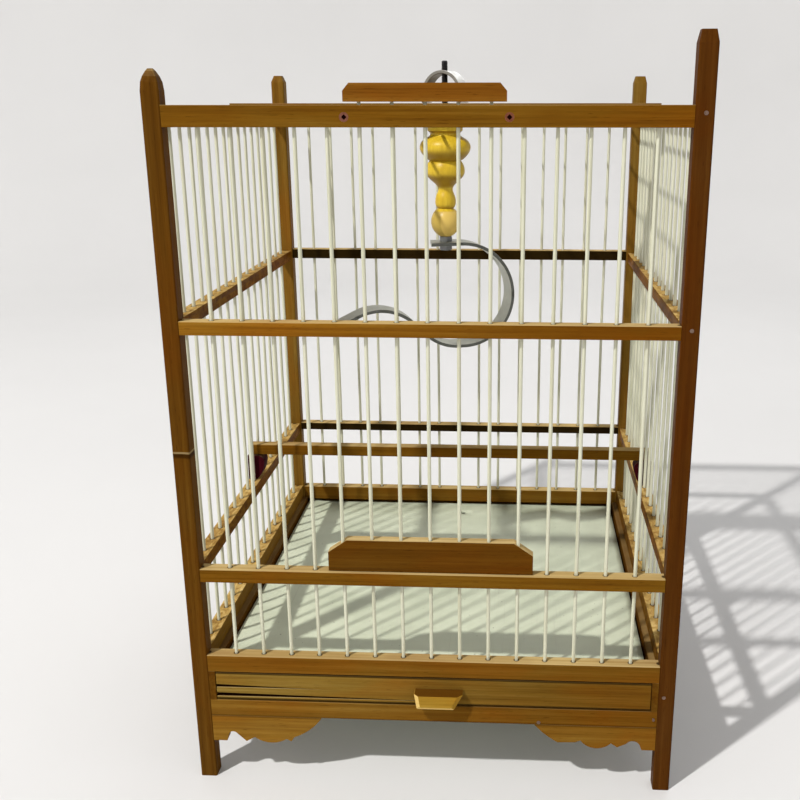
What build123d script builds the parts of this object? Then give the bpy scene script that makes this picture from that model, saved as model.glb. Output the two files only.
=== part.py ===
from build123d import *
import math
import os

# Bird cage on four legs: bamboo frame, thin bars, lift-up door, slide-out tray, perch, turned hanger.
# Millimetres, +Z up, front of the cage towards -Y.
# The origin is on the floor, under the middle of the whole outline (the tray knob included).

os.makedirs("parts", exist_ok=True)

# ---------------------------------------------------------------- driving dimensions
WIDTH = 264.0
DEPTH = 264.0
POST = 9.0
POST_EDGE = 0.8

RAIL_DEPTH = 8.0
RAIL_EDGE = 0.3
TOP_RAIL = (355.6, 365.6)
UPPER_RAIL = (256.4, 263.3)
LOWER_RAIL = (121.6, 128.9)
BOTTOM_RAIL = (67.5, 77.3)
BASE_RAIL = (39.8, 49.8)
BACK_TOP_RAIL = (TOP_RAIL[0], 367.0)
BACK_UPPER_RAIL = (257.7, 264.5)
BACK_LOWER_RAIL = (124.0, 129.4)
BACK_BOTTOM_RAIL = (66.0, 76.2)

BARS_PER_WALL = 15
BAR_RADIUS = 1.0
BAR_INSET = RAIL_DEPTH / 2
GLUED_HOLE = BAR_RADIUS + 0.03
SLIDING_HOLE = BAR_RADIUS + 0.10
BAR_TENON = 6.0
SHORT_TENON = 3.0

RUNNING_GAP = 0.4

DOOR_BAR_INDEX = 2
DOOR_THICK = 6.0
DOOR_SILL_SETBACK = 2.0
DOOR_SILL_HALF = 54.0
DOOR_SILL = (LOWER_RAIL[1] + RUNNING_GAP, 146.8)
DOOR_SILL_CHAMFER = (10.0, 7.0)
DOOR_HEAD_SETBACK = 1.0
DOOR_HEAD_HALF = 37.8
DOOR_HEAD = (367.0, 375.3)
DOOR_HEAD_CHAMFER = (3.0, 3.5)
PLUG_X = (-37.3, 39.1)
PLUG_Z = 360.2
PLUG_RADIUS = 2.2
PLUG_DEPTH = 4.0
PLUG_RECESS = 1.9
PLUG_RECESS_DEPTH = 1.5

KNOB_REACH = 8.0
KNOB_X = 4.2
KNOB_Z = (51.3, 60.6)
KNOB_TOP_WIDTH = 26.6
KNOB_BOTTOM_WIDTH = 20.4
KNOB_LEAN = -1.7
KNOB_BEVEL = 2.4

TRAY_FRONT_HALF = 119.0
TRAY_FRONT_THICK = 7.0
TRAY_FRONT_GAP_BELOW = 0.9
TRAY_FRONT_GAP_ABOVE = 0.5
TRAY_FRONT = (BASE_RAIL[1] + TRAY_FRONT_GAP_BELOW, BOTTOM_RAIL[0] - TRAY_FRONT_GAP_ABOVE)
TRAY_FLOOR = BASE_RAIL[1] + RUNNING_GAP
TRAY_STRIP = 7.0
TRAY_LENGTH = 254.0
SHEET_Z = 61.4
SHEET_THICK = 1.8
SHEET_LIP_WIDTH = 5.0
SHEET_LIP_RISE = 2.4
SHEET_HOLE_RADIUS = 2.4
SHEET_HOLE_X = 4.5
SHEET_HOLE_BACK = 21.0
BAY_BACK_THICK = 2.5
GUIDE_INNER = 120.5
GUIDE_EAR_INNER = 119.5
GUIDE_THICK = 7.5
RUNNER_INNER = 112.0
RUNNER_HEIGHT = 7.8

NAIL_SHANK = 0.6
NAIL_HEAD = 1.0
NAIL_HEAD_THICK = 0.5
NAIL_PROUD = 0.2
NAIL_LENGTH = 15.0
NAIL_STAGGER = 1.5
TOE_NAIL = (120.9, 45.0)
BRACKET_PIN = (58.8, 41.2)
PIN_LENGTH = 6.0
NAIL_CLEARANCE = 0.03

BATTEN_WIDTH = 26.0
BATTEN_TOP = 367.0
ROOF_BARS = 16
ROOF_TENON = 3.0
ROD_RADIUS = 1.97
ROD_CHAMFER = 0.5
ROD_HOLE = ROD_RADIUS + 0.10
ROD = (281.2, 390.6)
BODY_GAP = 0.3

PERCH_SIZE = 7.0
PERCH_HALF = 131.5
PERCH_Z = 145.5
REST_OUTER = 132.0
REST_THICK = 10.0

NUT_ACROSS_FLATS = 7.0
NUT_THICK = 3.2
STRAP_THICK = 2.0
STRAP_WIDTH = 16.5
STRAP_YAW = 18.0
STRAP_Z = 285.8
STRAP_END = (-10.9, -7.8)

WING_YAW = -30.0
WING_WIDTH = 8.0
WING_THICK = 2.0
WING_RADIUS = 12.9
WING_TOP = 385.4

# ---------------------------------------------------------------- derived places
MID_Y = KNOB_REACH / 2
FRONT_Y = MID_Y - DEPTH / 2
BACK_Y = MID_Y + DEPTH / 2
RAIL_LENGTH = WIDTH - 2 * POST
PITCH = RAIL_LENGTH / (BARS_PER_WALL + 1)
UPWARD = (Align.CENTER, Align.CENTER, Align.MIN)
DOWNWARD = (Align.CENTER, Align.CENTER, Align.MAX)

# One plane per wall, on the outer faces of its posts: local X along the wall, local Y up.
WALLS = {
    "front": Plane((0, FRONT_Y, 0), x_dir=(1, 0, 0), z_dir=(0, -1, 0)),
    "back": Plane((0, BACK_Y, 0), x_dir=(-1, 0, 0), z_dir=(0, 1, 0)),
    "left": Plane((-WIDTH / 2, MID_Y, 0), x_dir=(0, -1, 0), z_dir=(-1, 0, 0)),
    "right": Plane((WIDTH / 2, MID_Y, 0), x_dir=(0, 1, 0), z_dir=(1, 0, 0)),
}
ALL_BARS = range(-(BARS_PER_WALL // 2), BARS_PER_WALL // 2 + 1)
DOOR_BARS = [i for i in ALL_BARS if abs(i) <= DOOR_BAR_INDEX]
FIXED_FRONT_BARS = [i for i in ALL_BARS if abs(i) > DOOR_BAR_INDEX]
GUIDE_BARS = [-(DOOR_BAR_INDEX + 1), DOOR_BAR_INDEX + 1]


def keep(builder, name):
    """Label a finished piece and write it to its own file."""
    builder.part.label = name
    export_step(builder.part, f"parts/{name}.step")


def middle(band):
    """Height of the middle of a (low, high) band."""
    return (band[0] + band[1]) / 2


def bar_points(side, indexes, z):
    """Centres of the numbered bars of a wall at height z; bar 0 is in the middle."""
    wall = WALLS[side]
    feet = [wall.from_local_coords(Vector(i * PITCH, 0, -BAR_INSET)) for i in indexes]
    return [(foot.X, foot.Y, z) for foot in feet]


# ---------------------------------------------------------------- nails
def nail_planes():
    """Planes on the surfaces where the long nails go in, looking out of the wood."""
    levels = [TOP_RAIL, UPPER_RAIL, LOWER_RAIL, BOTTOM_RAIL, BASE_RAIL]
    back_levels = [BACK_TOP_RAIL, BACK_UPPER_RAIL, BACK_LOWER_RAIL, BACK_BOTTOM_RAIL, BASE_RAIL]
    face_levels = {(-1, -1): [], (1, -1): [TOP_RAIL, UPPER_RAIL], (-1, 1): levels, (1, 1): levels}
    planes = [Plane((TOE_NAIL[0], FRONT_Y, TOE_NAIL[1]), z_dir=(-0.6, -0.8, 0))]
    for (side_x, side_y), faced in face_levels.items():
        corner_x = side_x * WIDTH / 2
        corner_y = MID_Y + side_y * DEPTH / 2
        inset_x = corner_x - side_x * BAR_INSET
        inset_y = corner_y - side_y * BAR_INSET
        stagger = side_x * NAIL_STAGGER
        for level in back_levels if side_y > 0 else levels:
            planes.append(Plane((corner_x, inset_y, middle(level) - stagger), z_dir=(side_x, 0, 0)))
        for level in faced:
            planes.append(Plane((inset_x, corner_y, middle(level) + stagger), z_dir=(0, side_y, 0)))
        if faced:
            guide_x = side_x * (GUIDE_INNER + GUIDE_THICK - 2)
            planes.append(Plane((guide_x, corner_y, middle(TRAY_FRONT)), z_dir=(0, side_y, 0)))
    for side_x in (-1, 1):
        for offset in (-PITCH / 2, PITCH / 2):
            planes.append(Plane((side_x * WIDTH / 2, MID_Y + offset, middle(TOP_RAIL)), z_dir=(side_x, 0, 0)))
    return planes


def make_nails(clearance):
    """All frame nails, each with a flat head a hair proud of the wood."""
    pin = Plane((BRACKET_PIN[0], FRONT_Y, BRACKET_PIN[1]), z_dir=(0, -1, 0))
    with BuildPart() as group:
        with Locations(*[Location(plane) for plane in nail_planes()]):
            Cylinder(NAIL_SHANK + clearance, NAIL_LENGTH + clearance, align=DOWNWARD)
        with Locations(Location(pin)):
            Cylinder(NAIL_SHANK + clearance, PIN_LENGTH + clearance, align=DOWNWARD)
        with Locations(*[Location(plane.offset(NAIL_PROUD)) for plane in nail_planes() + [pin]]):
            Cylinder(NAIL_HEAD + clearance, NAIL_HEAD_THICK + clearance, align=DOWNWARD)
    return group


frame_nails = make_nails(0)
keep(frame_nails, "frame_nails")
nail_pockets = make_nails(NAIL_CLEARANCE)

# ---------------------------------------------------------------- corner posts, which are also the legs
# name: side in X, side in Y, height of the tip, hand-cut facets as (distance below the tip, width there)
POSTS = {
    "post_front_left": (-1, -1, 381.8, [(10.0, POST), (6.0, 8.2), (3.5, 6.6), (1.2, 4.2), (0, 2.4)]),
    "post_front_right": (1, -1, 397.9, [(5.6, POST), (0, 6.7)]),
    "post_back_left": (-1, 1, 386.3, [(4.4, POST), (0, 5.6)]),
    "post_back_right": (1, 1, 385.6, [(4.8, POST), (0, 6.5)]),
}
for name, (side_x, side_y, tip, facets) in POSTS.items():
    centre_x = side_x * (WIDTH - POST) / 2
    centre_y = MID_Y + side_y * (DEPTH - POST) / 2
    with BuildPart() as post:
        with BuildSketch(Plane((centre_x, centre_y, 0))):
            RectangleRounded(POST, POST, POST_EDGE)
        extrude(amount=tip - facets[0][0])
        for drop, width in facets:
            with BuildSketch(Plane((centre_x, centre_y, tip - drop))):
                RectangleRounded(width, width, POST_EDGE)
        loft(ruled=True)
        add(nail_pockets.part, mode=Mode.SUBTRACT)
    keep(post, name)


# ---------------------------------------------------------------- rails between the posts
def make_rail(side, band, bores):
    """A straight rail of a wall. Each bore is (points, radius, low z, high z)."""
    wall = WALLS[side]
    long_axis = Axis.X if side in ("front", "back") else Axis.Y
    with BuildPart() as rail:
        with BuildSketch(wall):
            with Locations((0, middle(band))):
                Rectangle(RAIL_LENGTH, band[1] - band[0])
        extrude(amount=-RAIL_DEPTH)
        fillet(rail.edges().filter_by(long_axis), RAIL_EDGE)
        for points, radius, low, high in bores:
            with Locations(*points):
                Cylinder(radius, high - low, align=UPWARD, mode=Mode.SUBTRACT)
        add(nail_pockets.part, mode=Mode.SUBTRACT)
    return rail


def blind_from_below(side, indexes, band):
    """Sockets for bar tops in the underside of a rail."""
    low = band[0] - 1
    return (bar_points(side, indexes, low), GLUED_HOLE, low, band[0] + BAR_TENON)


def blind_from_above(side, indexes, band):
    """Sockets for bar feet in the top of a rail."""
    low = band[1] - BAR_TENON
    return (bar_points(side, indexes, low), GLUED_HOLE, low, band[1] + 1)


def through(side, indexes, band, radius):
    """Holes right through a rail."""
    low = band[0] - 1
    return (bar_points(side, indexes, low), radius, low, band[1] + 1)


ROOF_X = [(i - (ROOF_BARS - 1) / 2) * PITCH for i in range(ROOF_BARS)]
ROOF_BAR_LENGTH = DEPTH - 2 * RAIL_DEPTH + 2 * ROOF_TENON
ROOF_PLANE = Plane((0, MID_Y, middle(TOP_RAIL)), x_dir=(1, 0, 0), z_dir=(0, -1, 0))


def make_roof_bars(radius):
    """Straight bars from the front top rail to the back top rail."""
    with BuildPart() as bars:
        with BuildSketch(ROOF_PLANE):
            with Locations(*[(x, 0) for x in ROOF_X]):
                Circle(radius)
        extrude(amount=ROOF_BAR_LENGTH / 2, both=True)
    return bars


roof_bars = make_roof_bars(BAR_RADIUS)
keep(roof_bars, "roof_bars")
roof_bores = make_roof_bars(GLUED_HOLE)
PLUG_PLACES = [Location(WALLS["front"].shift_origin((x, FRONT_Y, PLUG_Z))) for x in PLUG_X]

for side in WALLS:
    at_back = side == "back"
    top_band = BACK_TOP_RAIL if at_back else TOP_RAIL
    upper_band = BACK_UPPER_RAIL if at_back else UPPER_RAIL
    lower_band = BACK_LOWER_RAIL if at_back else LOWER_RAIL
    bottom_band = BACK_BOTTOM_RAIL if at_back else BOTTOM_RAIL
    if side == "front":
        top_bores = [
            blind_from_below(side, FIXED_FRONT_BARS, TOP_RAIL),
            through(side, DOOR_BARS, TOP_RAIL, SLIDING_HOLE),
        ]
        upper_bores = [
            through(side, FIXED_FRONT_BARS, UPPER_RAIL, GLUED_HOLE),
            through(side, DOOR_BARS, UPPER_RAIL, SLIDING_HOLE),
        ]
        socket = LOWER_RAIL[0] - 1
        lower_bores = [
            through(side, FIXED_FRONT_BARS, LOWER_RAIL, GLUED_HOLE),
            (bar_points(side, DOOR_BARS, socket), GLUED_HOLE, socket, LOWER_RAIL[0] + SHORT_TENON),
        ]
    else:
        top_bores = [blind_from_below(side, ALL_BARS, TOP_RAIL)]
        upper_bores = [through(side, ALL_BARS, upper_band, GLUED_HOLE)]
        lower_bores = [through(side, ALL_BARS, lower_band, GLUED_HOLE)]

    top_rail = make_rail(side, top_band, top_bores)
    if side in ("front", "back"):
        with top_rail:
            add(roof_bores.part, mode=Mode.SUBTRACT)
    if side == "front":
        with top_rail:
            with Locations(*PLUG_PLACES):
                Cylinder(PLUG_RADIUS, PLUG_DEPTH, align=DOWNWARD, mode=Mode.SUBTRACT)
    keep(top_rail, f"top_rail_{side}")
    keep(make_rail(side, upper_band, upper_bores), f"upper_rail_{side}")
    keep(make_rail(side, lower_band, lower_bores), f"lower_rail_{side}")
    keep(make_rail(side, bottom_band, [blind_from_above(side, ALL_BARS, BOTTOM_RAIL)]), f"bottom_rail_{side}")
    keep(make_rail(side, BASE_RAIL, []), f"base_rail_{side}")

# ---------------------------------------------------------------- wall bars
BAR_TOP = TOP_RAIL[0] + BAR_TENON
BAR_FOOT = BOTTOM_RAIL[1] - BAR_TENON


def make_bars(side, indexes, low, high):
    """A group of separate upright bars."""
    with BuildPart() as bars:
        with Locations(*bar_points(side, indexes, low)):
            Cylinder(BAR_RADIUS, high - low, align=UPWARD)
    return bars


keep(make_bars("front", FIXED_FRONT_BARS, BAR_FOOT, BAR_TOP), "front_bars")
keep(make_bars("front", DOOR_BARS, BAR_FOOT, LOWER_RAIL[0] + SHORT_TENON), "front_short_bars")
for side in ("back", "left", "right"):
    keep(make_bars(side, ALL_BARS, BAR_FOOT, BAR_TOP), f"{side}_bars")

# ---------------------------------------------------------------- roof batten that holds the hanger
with BuildPart() as roof_batten:
    with BuildSketch(Plane((0, MID_Y, TOP_RAIL[0]))):
        Rectangle(WIDTH - 2 * RAIL_DEPTH, BATTEN_WIDTH)
        Circle(ROD_HOLE, mode=Mode.SUBTRACT)
    extrude(amount=BATTEN_TOP - TOP_RAIL[0])
    fillet(roof_batten.edges().filter_by(Axis.X), RAIL_EDGE)
    add(roof_bores.part, mode=Mode.SUBTRACT)
    add(nail_pockets.part, mode=Mode.SUBTRACT)
keep(roof_batten, "roof_batten")

# ---------------------------------------------------------------- round wooden plugs in the front top rail
with BuildPart() as door_plugs:
    with Locations(*PLUG_PLACES):
        Cylinder(PLUG_RADIUS - NAIL_CLEARANCE, PLUG_DEPTH, align=DOWNWARD)
        Box(PLUG_RECESS, PLUG_RECESS, 2 * PLUG_RECESS_DEPTH, rotation=(0, 0, 45), mode=Mode.SUBTRACT)
keep(door_plugs, "door_plugs")

# ---------------------------------------------------------------- fretted brackets under the front base rail
# Outline points as (distance from the middle of the cage, height), from the leg inwards.
BRACKETS = {
    "bracket_left": {
        "side": -1,
        "foot": (115.4, 23.7),
        "notch": [(114.2, 28.2), (111.6, 29.7), (109.6, 28.7)],
        "cusp": (104.4, 23.6),
        "peak": (99.6, 26.4),
        "lobe": (89.5, 23.1),
        "second_peak": (81.6, 25.7),
        "second_cusp": (79.0, 24.3),
        "sweep": [(77.2, 27.0), (68.8, 31.7), (61.3, BASE_RAIL[0])],
    },
    "bracket_right": {
        "side": 1,
        "foot": (115.7, 25.5),
        "notch": [(114.6, 28.2), (110.8, 31.0), (107.2, 29.2)],
        "cusp": (102.2, 26.8),
        "peak": (98.8, 29.2),
        "lobe": (91.0, 25.8),
        "second_peak": (82.0, 30.4),
        "second_cusp": (79.0, 29.2),
        "sweep": [(69.5, 28.9), (63.2, 33.2), (56.4, BASE_RAIL[0])],
    },
}
BRACKET_THICK = 6.0
for name, shape in BRACKETS.items():
    side = shape["side"]
    leg = WIDTH / 2 - POST
    notch = [(side * x, z) for x, z in shape["notch"]]
    sweep_points = [(side * x, z) for x, z in shape["sweep"]]
    foot, cusp, peak, lobe, second_peak, second_cusp = [
        (side * shape[key][0], shape[key][1])
        for key in ("foot", "cusp", "peak", "lobe", "second_peak", "second_cusp")
    ]
    with BuildPart() as bracket:
        with BuildSketch(WALLS["front"]):
            with BuildLine():
                Line((side * leg, BASE_RAIL[0]), (side * leg, foot[1]))
                Line((side * leg, foot[1]), foot)
                Line(foot, notch[0])
                ThreePointArc(*notch)
                Line(notch[2], cusp)
                Line(cusp, peak)
                ThreePointArc(peak, lobe, second_peak)
                Line(second_peak, second_cusp)
                Line(second_cusp, sweep_points[0])
                ThreePointArc(*sweep_points)
                Line(sweep_points[2], (side * leg, BASE_RAIL[0]))
            make_face()
        extrude(amount=-BRACKET_THICK)
    keep(bracket, name)

# ---------------------------------------------------------------- tray bay: guides, runners and back board
for side, sign in (("left", -1), ("right", 1)):
    ear_width = WIDTH / 2 - POST - GUIDE_EAR_INNER
    with BuildPart() as tray_guide:
        with BuildSketch(Plane((0, MID_Y, BASE_RAIL[1]))):
            with Locations((sign * (GUIDE_INNER + GUIDE_THICK / 2), 0)):
                Rectangle(GUIDE_THICK, RAIL_LENGTH)
            with Locations((sign * (GUIDE_EAR_INNER + ear_width / 2), (POST - DEPTH) / 2)):
                Rectangle(ear_width, POST)
        extrude(amount=BOTTOM_RAIL[0] - BASE_RAIL[1])
        add(nail_pockets.part, mode=Mode.SUBTRACT)
    keep(tray_guide, f"tray_guide_{side}")

    runner_width = WIDTH / 2 - RAIL_DEPTH - RUNNER_INNER
    with BuildPart() as tray_runner:
        with BuildSketch(Plane((sign * (RUNNER_INNER + runner_width / 2), MID_Y, BASE_RAIL[1]))):
            Rectangle(runner_width, RAIL_LENGTH - 2 * POST)
        extrude(amount=-RUNNER_HEIGHT)
        add(nail_pockets.part, mode=Mode.SUBTRACT)
    keep(tray_runner, f"tray_runner_{side}")

with BuildPart() as tray_bay_back:
    with BuildSketch(WALLS["back"]):
        with Locations((0, (BASE_RAIL[1] + BACK_BOTTOM_RAIL[0]) / 2)):
            Rectangle(RAIL_LENGTH, BACK_BOTTOM_RAIL[0] - BASE_RAIL[1])
    extrude(amount=-BAY_BACK_THICK)
keep(tray_bay_back, "tray_bay_back")

# ---------------------------------------------------------------- perch and the blocks it rests on
PERCH_Y = MID_Y + PITCH / 2
for side, sign in (("left", -1), ("right", 1)):
    top = PERCH_Z - BODY_GAP
    with BuildPart() as perch_block:
        with BuildSketch(Plane((0, PERCH_Y - REST_THICK / 2, 0), x_dir=(sign, 0, 0), z_dir=(0, -sign, 0))):
            with BuildLine():
                Line((REST_OUTER, LOWER_RAIL[1]), (REST_OUTER, top))
                Line((REST_OUTER, top), (124.4, top))
                ThreePointArc((124.4, top), (121.6, 142.6), (121.5, 138.6))
                ThreePointArc((121.5, 138.6), (123.0, 133.6), (126.4, LOWER_RAIL[1]))
                Line((126.4, LOWER_RAIL[1]), (REST_OUTER, LOWER_RAIL[1]))
            make_face()
        extrude(amount=-sign * REST_THICK)
    keep(perch_block, f"perch_block_{side}")

with BuildPart() as perch:
    with BuildSketch(Plane((-PERCH_HALF, PERCH_Y, PERCH_Z + PERCH_SIZE / 2), z_dir=(1, 0, 0))):
        RectangleRounded(PERCH_SIZE, PERCH_SIZE, POST_EDGE)
    extrude(amount=2 * PERCH_HALF)
keep(perch, "perch")

# ---------------------------------------------------------------- lift-up door
def make_door_board(setback, half, band, chamfer_size, bores):
    """A board of the door with its two upper corners cut off."""
    run, drop = chamfer_size
    with BuildPart() as board:
        with BuildSketch(WALLS["front"].offset(-setback)):
            with BuildLine():
                Polyline(
                    (-half, band[0]),
                    (half, band[0]),
                    (half, band[1] - drop),
                    (half - run, band[1]),
                    (run - half, band[1]),
                    (-half, band[1] - drop),
                    close=True,
                )
            make_face()
        extrude(amount=-DOOR_THICK)
        for points, radius, low, high in bores:
            with Locations(*points):
                Cylinder(radius, high - low, align=UPWARD, mode=Mode.SUBTRACT)
    return board


DOOR_BAR_FOOT = DOOR_SILL[1] - BAR_TENON
DOOR_BAR_TOP = DOOR_HEAD[0] + 5.0
door_sill = make_door_board(
    DOOR_SILL_SETBACK,
    DOOR_SILL_HALF,
    DOOR_SILL,
    DOOR_SILL_CHAMFER,
    [
        (bar_points("front", DOOR_BARS, DOOR_BAR_FOOT), GLUED_HOLE, DOOR_BAR_FOOT, DOOR_SILL[1] + 1),
        (bar_points("front", GUIDE_BARS, DOOR_SILL[0] - 1), SLIDING_HOLE, DOOR_SILL[0] - 1, DOOR_SILL[1] + 1),
    ],
)
keep(door_sill, "door_sill")
door_head = make_door_board(
    DOOR_HEAD_SETBACK,
    DOOR_HEAD_HALF,
    DOOR_HEAD,
    DOOR_HEAD_CHAMFER,
    [(bar_points("front", DOOR_BARS, DOOR_HEAD[0] - 1), GLUED_HOLE, DOOR_HEAD[0] - 1, DOOR_BAR_TOP)],
)
keep(door_head, "door_head")
keep(make_bars("front", DOOR_BARS, DOOR_BAR_FOOT, DOOR_BAR_TOP), "door_bars")

# ---------------------------------------------------------------- slide-out tray
# Long drying splits in the bamboo of the tray front: (left end, right end, height at the left, opening).
SPLITS = [(-TRAY_FRONT_HALF, -60.0, 58.8, 2.1), (-TRAY_FRONT_HALF, 12.0, 53.4, 2.5)]
SPLIT_DEPTH = 3.0
SPLIT_RISE = 0.8
with BuildPart() as tray_front:
    with BuildSketch(WALLS["front"]):
        with Locations((0, middle(TRAY_FRONT))):
            Rectangle(2 * TRAY_FRONT_HALF, TRAY_FRONT[1] - TRAY_FRONT[0])
    extrude(amount=-TRAY_FRONT_THICK)
    fillet(tray_front.edges().filter_by(Axis.X), RAIL_EDGE)
    for left, right, height, opening in SPLITS:
        with BuildSketch(WALLS["front"]):
            with BuildLine():
                Polyline(
                    (left - 1, height + opening / 2),
                    (left - 1, height - opening / 2),
                    (right, height - SPLIT_RISE),
                    close=True,
                )
            make_face()
        extrude(amount=-SPLIT_DEPTH, mode=Mode.SUBTRACT)
keep(tray_front, "tray_front")

with BuildPart() as tray_knob:
    with BuildSketch(WALLS["front"]):
        with BuildLine():
            Polyline(
                (KNOB_X - KNOB_TOP_WIDTH / 2, KNOB_Z[1]),
                (KNOB_X + KNOB_LEAN - KNOB_BOTTOM_WIDTH / 2, KNOB_Z[0]),
                (KNOB_X + KNOB_LEAN + KNOB_BOTTOM_WIDTH / 2, KNOB_Z[0]),
                (KNOB_X + KNOB_TOP_WIDTH / 2, KNOB_Z[1]),
                close=True,
            )
        make_face()
    extrude(amount=KNOB_REACH)
    front_face = tray_knob.faces().sort_by(Axis.Y)[0]
    chamfer(front_face.edges().sort_by(Axis.Z)[:3], KNOB_BEVEL)
keep(tray_knob, "tray_knob")

TRAY_START_Y = FRONT_Y + TRAY_FRONT_THICK
for side, sign in (("left", -1), ("right", 1)):
    with BuildPart() as tray_strip:
        strip_x = sign * (TRAY_FRONT_HALF - TRAY_STRIP / 2)
        with BuildSketch(Plane((strip_x, TRAY_START_Y + TRAY_LENGTH / 2, TRAY_FLOOR))):
            Rectangle(TRAY_STRIP, TRAY_LENGTH)
        extrude(amount=SHEET_Z - TRAY_FLOOR)
    keep(tray_strip, f"tray_side_{side}")

with BuildPart() as tray_back:
    with BuildSketch(Plane((0, TRAY_START_Y + TRAY_LENGTH - TRAY_STRIP / 2, TRAY_FLOOR))):
        Rectangle(2 * (TRAY_FRONT_HALF - TRAY_STRIP), TRAY_STRIP)
    extrude(amount=SHEET_Z - TRAY_FLOOR)
keep(tray_back, "tray_back")

# The floor sheet is flat, with its left edge curled up.
LIP_X = -TRAY_FRONT_HALF + SHEET_LIP_WIDTH
SHEET_TOP = SHEET_Z + SHEET_THICK
with BuildPart() as tray_sheet:
    with BuildSketch(Plane((0, TRAY_START_Y, 0), x_dir=(1, 0, 0), z_dir=(0, -1, 0))):
        with BuildLine():
            Polyline(
                (LIP_X, SHEET_Z),
                (TRAY_FRONT_HALF, SHEET_Z),
                (TRAY_FRONT_HALF, SHEET_TOP),
                (LIP_X, SHEET_TOP),
                (-TRAY_FRONT_HALF, SHEET_TOP + SHEET_LIP_RISE),
                (-TRAY_FRONT_HALF, SHEET_Z + SHEET_LIP_RISE),
                close=True,
            )
        make_face()
    extrude(amount=-TRAY_LENGTH)
    with Locations((SHEET_HOLE_X, TRAY_START_Y + TRAY_LENGTH - SHEET_HOLE_BACK, SHEET_TOP)):
        Hole(SHEET_HOLE_RADIUS, depth=SHEET_THICK + 1)
keep(tray_sheet, "tray_sheet")

# ---------------------------------------------------------------- hanger: rod, turned finial, nuts and strap hook
# The hanger is stored upside down: it hangs below the roof batten, inside the cage.
hanger_axis = (0, MID_Y)


def upright_plane(yaw):
    """Upright plane through the hanger axis: local X level, turned by yaw; local Y up."""
    turn = math.radians(yaw)
    level = (math.cos(turn), math.sin(turn), 0)
    outward = (math.sin(turn), -math.cos(turn), 0)
    return Plane((*hanger_axis, 0), x_dir=level, z_dir=outward)


with BuildPart() as threaded_rod:
    with BuildSketch(Plane((*hanger_axis, ROD[0]))):
        Circle(ROD_RADIUS)
    extrude(amount=ROD[1] - ROD[0])
    chamfer(threaded_rod.edges(), ROD_CHAMFER)
keep(threaded_rod, "threaded_rod")

FINIAL_TOP = TOP_RAIL[0] - BODY_GAP
FINIAL_BASE = STRAP_Z + STRAP_THICK / 2 + NUT_THICK
with BuildPart() as finial:
    with BuildSketch(Plane((*hanger_axis, 0), x_dir=(1, 0, 0), z_dir=(0, -1, 0))):
        with BuildLine():
            Line((ROD_RADIUS + 0.03, FINIAL_TOP), (10.4, FINIAL_TOP))
            Line((10.4, FINIAL_TOP), (10.4, 351.6))
            Spline(
                (10.4, 351.6), (8.8, 349.4), (12.6, 346.6), (15.1, 342.0), (12.9, 337.3), (9.3, 334.4),
            )
            Spline((9.3, 334.4), (11.3, 330.9), (11.4, 326.9), (8.0, 322.6), (4.4, 317.9), (5.6, 314.0), (6.2, 311.2),
                   (5.4, 307.3))
            Line((5.4, 307.3), (4.8, 306.6))
            ThreePointArc((4.8, 306.6), (8.8, 298.4), (3.6, FINIAL_BASE))
            Line((3.6, FINIAL_BASE), (ROD_RADIUS + 0.03, FINIAL_BASE))
            Line((ROD_RADIUS + 0.03, FINIAL_BASE), (ROD_RADIUS + 0.03, FINIAL_TOP))
        make_face()
    revolve(axis=Axis((*hanger_axis, 0), (0, 0, 1)))
keep(finial, "finial")

with BuildPart() as hook_nuts:
    for base in (FINIAL_BASE - NUT_THICK, STRAP_Z - STRAP_THICK / 2 - NUT_THICK):
        with BuildSketch(Plane((*hanger_axis, base)).rotated((0, 0, 12))):
            RegularPolygon(NUT_ACROSS_FLATS / 2, 6, major_radius=False)
            Circle(ROD_RADIUS + 0.03, mode=Mode.SUBTRACT)
        extrude(amount=NUT_THICK)
keep(hook_nuts, "hook_nuts")

# The hook is one flat steel strap bent on edge: an eye on the rod, a round bight, a turned-up tip.
with BuildPart() as hook_strap:
    with BuildSketch(upright_plane(STRAP_YAW)):
        with BuildLine():
            eye = Line((STRAP_END[0], STRAP_Z), (8.3, STRAP_Z))
            shoulder = JernArc(eye @ 1, eye % 1, 32.4, -90)
            corner = JernArc(shoulder @ 1, shoulder % 1, 30.7, -90)
            flat = PolarLine(corner @ 1, 3.6, direction=corner % 1)
            bight = JernArc(flat @ 1, flat % 1, 30, -43.5)
            neck = PolarLine(bight @ 1, 11.6, direction=bight % 1)
            turn = JernArc(neck @ 1, neck % 1, 30, 68.5)
            PolarLine(turn @ 1, 15, direction=turn % 1)
        trace(line_width=STRAP_THICK)
    extrude(amount=STRAP_WIDTH / 2, both=True)
    with Locations((*hanger_axis, STRAP_Z)):
        Cylinder(ROD_RADIUS + 0.03, 3 * STRAP_THICK, mode=Mode.SUBTRACT)
    half = STRAP_WIDTH / 2
    with BuildSketch(Plane((*hanger_axis, STRAP_Z), x_dir=upright_plane(STRAP_YAW).x_dir)):
        with BuildLine():
            Polyline((STRAP_END[0], -half), (STRAP_END[1], half), (STRAP_END[0], half), close=True)
        make_face()
    extrude(amount=STRAP_THICK, both=True, mode=Mode.SUBTRACT)
keep(hook_strap, "hook_strap")

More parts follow.
